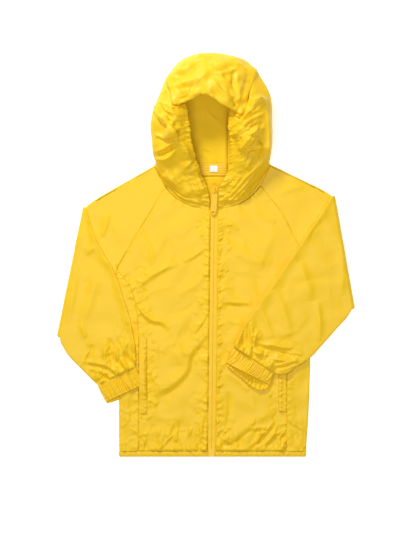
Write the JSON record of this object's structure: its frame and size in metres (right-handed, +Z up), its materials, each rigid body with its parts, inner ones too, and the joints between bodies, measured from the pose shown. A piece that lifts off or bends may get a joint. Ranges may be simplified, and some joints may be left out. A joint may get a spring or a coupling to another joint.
{
  "type": "kids windbreaker laid flat",
  "caption": "Child's yellow hooded windbreaker laid on its back, zipped up, sleeves folded over the front, hood standing open.",
  "frame": {"origin": "on the surface the garment lies on, under the middle of the back", "axes": "+X towards the wearer's left, +Y from the hem to the hood, +Z up from the surface to the front"},
  "size_m": [0.5177, 0.703, 0.0753],
  "materials": {
    "shell": "thin calendered plain-weave nylon with a soft sheen",
    "binding": "gathered nylon over elastic",
    "zip_tape": "smooth woven zip tape",
    "zip_hardware": "moulded and lacquered in the cloth's colour",
    "label": "white satin tape, bare"
  },
  "bodies": {
    "garment": {"back": "shell", "front_right": "shell", "front_left": "shell", "sleeve_right": "shell", "sleeve_left": "shell", "hood_centre": "shell", "hood_side_right": "shell", "hood_side_left": "shell", "cuff_right": "binding", "cuff_left": "binding", "hem_binding": "binding", "pocket_welt_right": "binding", "pocket_welt_left": "binding", "neck_tape": "binding", "size_label": "label", "zip_tape_right": "zip_tape", "zip_tape_left": "zip_tape", "zip_slider": "zip_hardware", "zip_box": "zip_hardware"},
    "pull": {"zip_pull": "zip_hardware"}
  },
  "joints": [
    {"name": "pull_hinge", "type": "hinge", "parent": "garment", "child": "pull", "pos_m": [0.0047, 0.113, 0.0151], "axis": [-1, 0, 0], "range_deg": [0, 150]}
  ]
}
